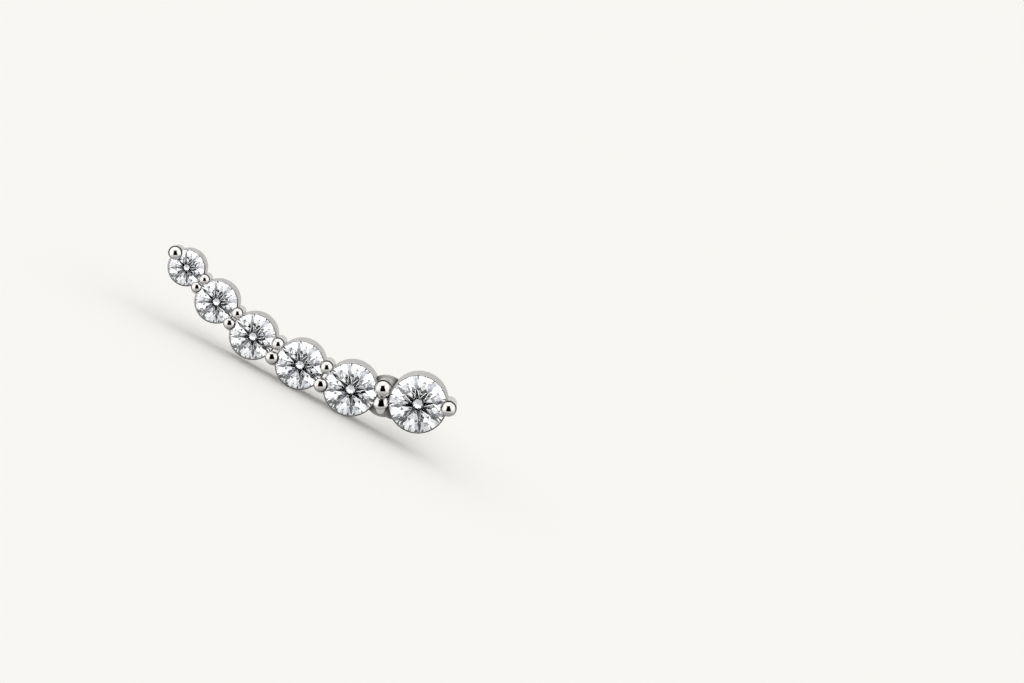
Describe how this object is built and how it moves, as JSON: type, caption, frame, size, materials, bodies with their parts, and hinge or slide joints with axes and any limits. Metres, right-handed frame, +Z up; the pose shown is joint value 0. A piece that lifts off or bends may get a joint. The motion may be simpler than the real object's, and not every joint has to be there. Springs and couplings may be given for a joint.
{
  "type": "ear climber",
  "caption": "Ear climber stud: a curved row of graduated round stones in plain cup settings with shared ball-tipped prongs, on a straight ear post.",
  "frame": {"origin": "on the surface it rests on, under the middle of its bounding box", "axes": "+Z up as it rests on its two middle cups, +X along the row towards the largest stone, +Y along the ear post away from the stones' faces"},
  "size_m": [0.0178, 0.012, 0.0042],
  "materials": {
    "white_gold": "polished white gold",
    "clear_stone": "polished facets, colourless"
  },
  "bodies": {
    "root": {"setting": "white_gold", "stone_1": "clear_stone", "stone_2": "clear_stone", "stone_3": "clear_stone", "stone_4": "clear_stone", "stone_5": "clear_stone", "stone_6": "clear_stone"}
  },
  "joints": []
}
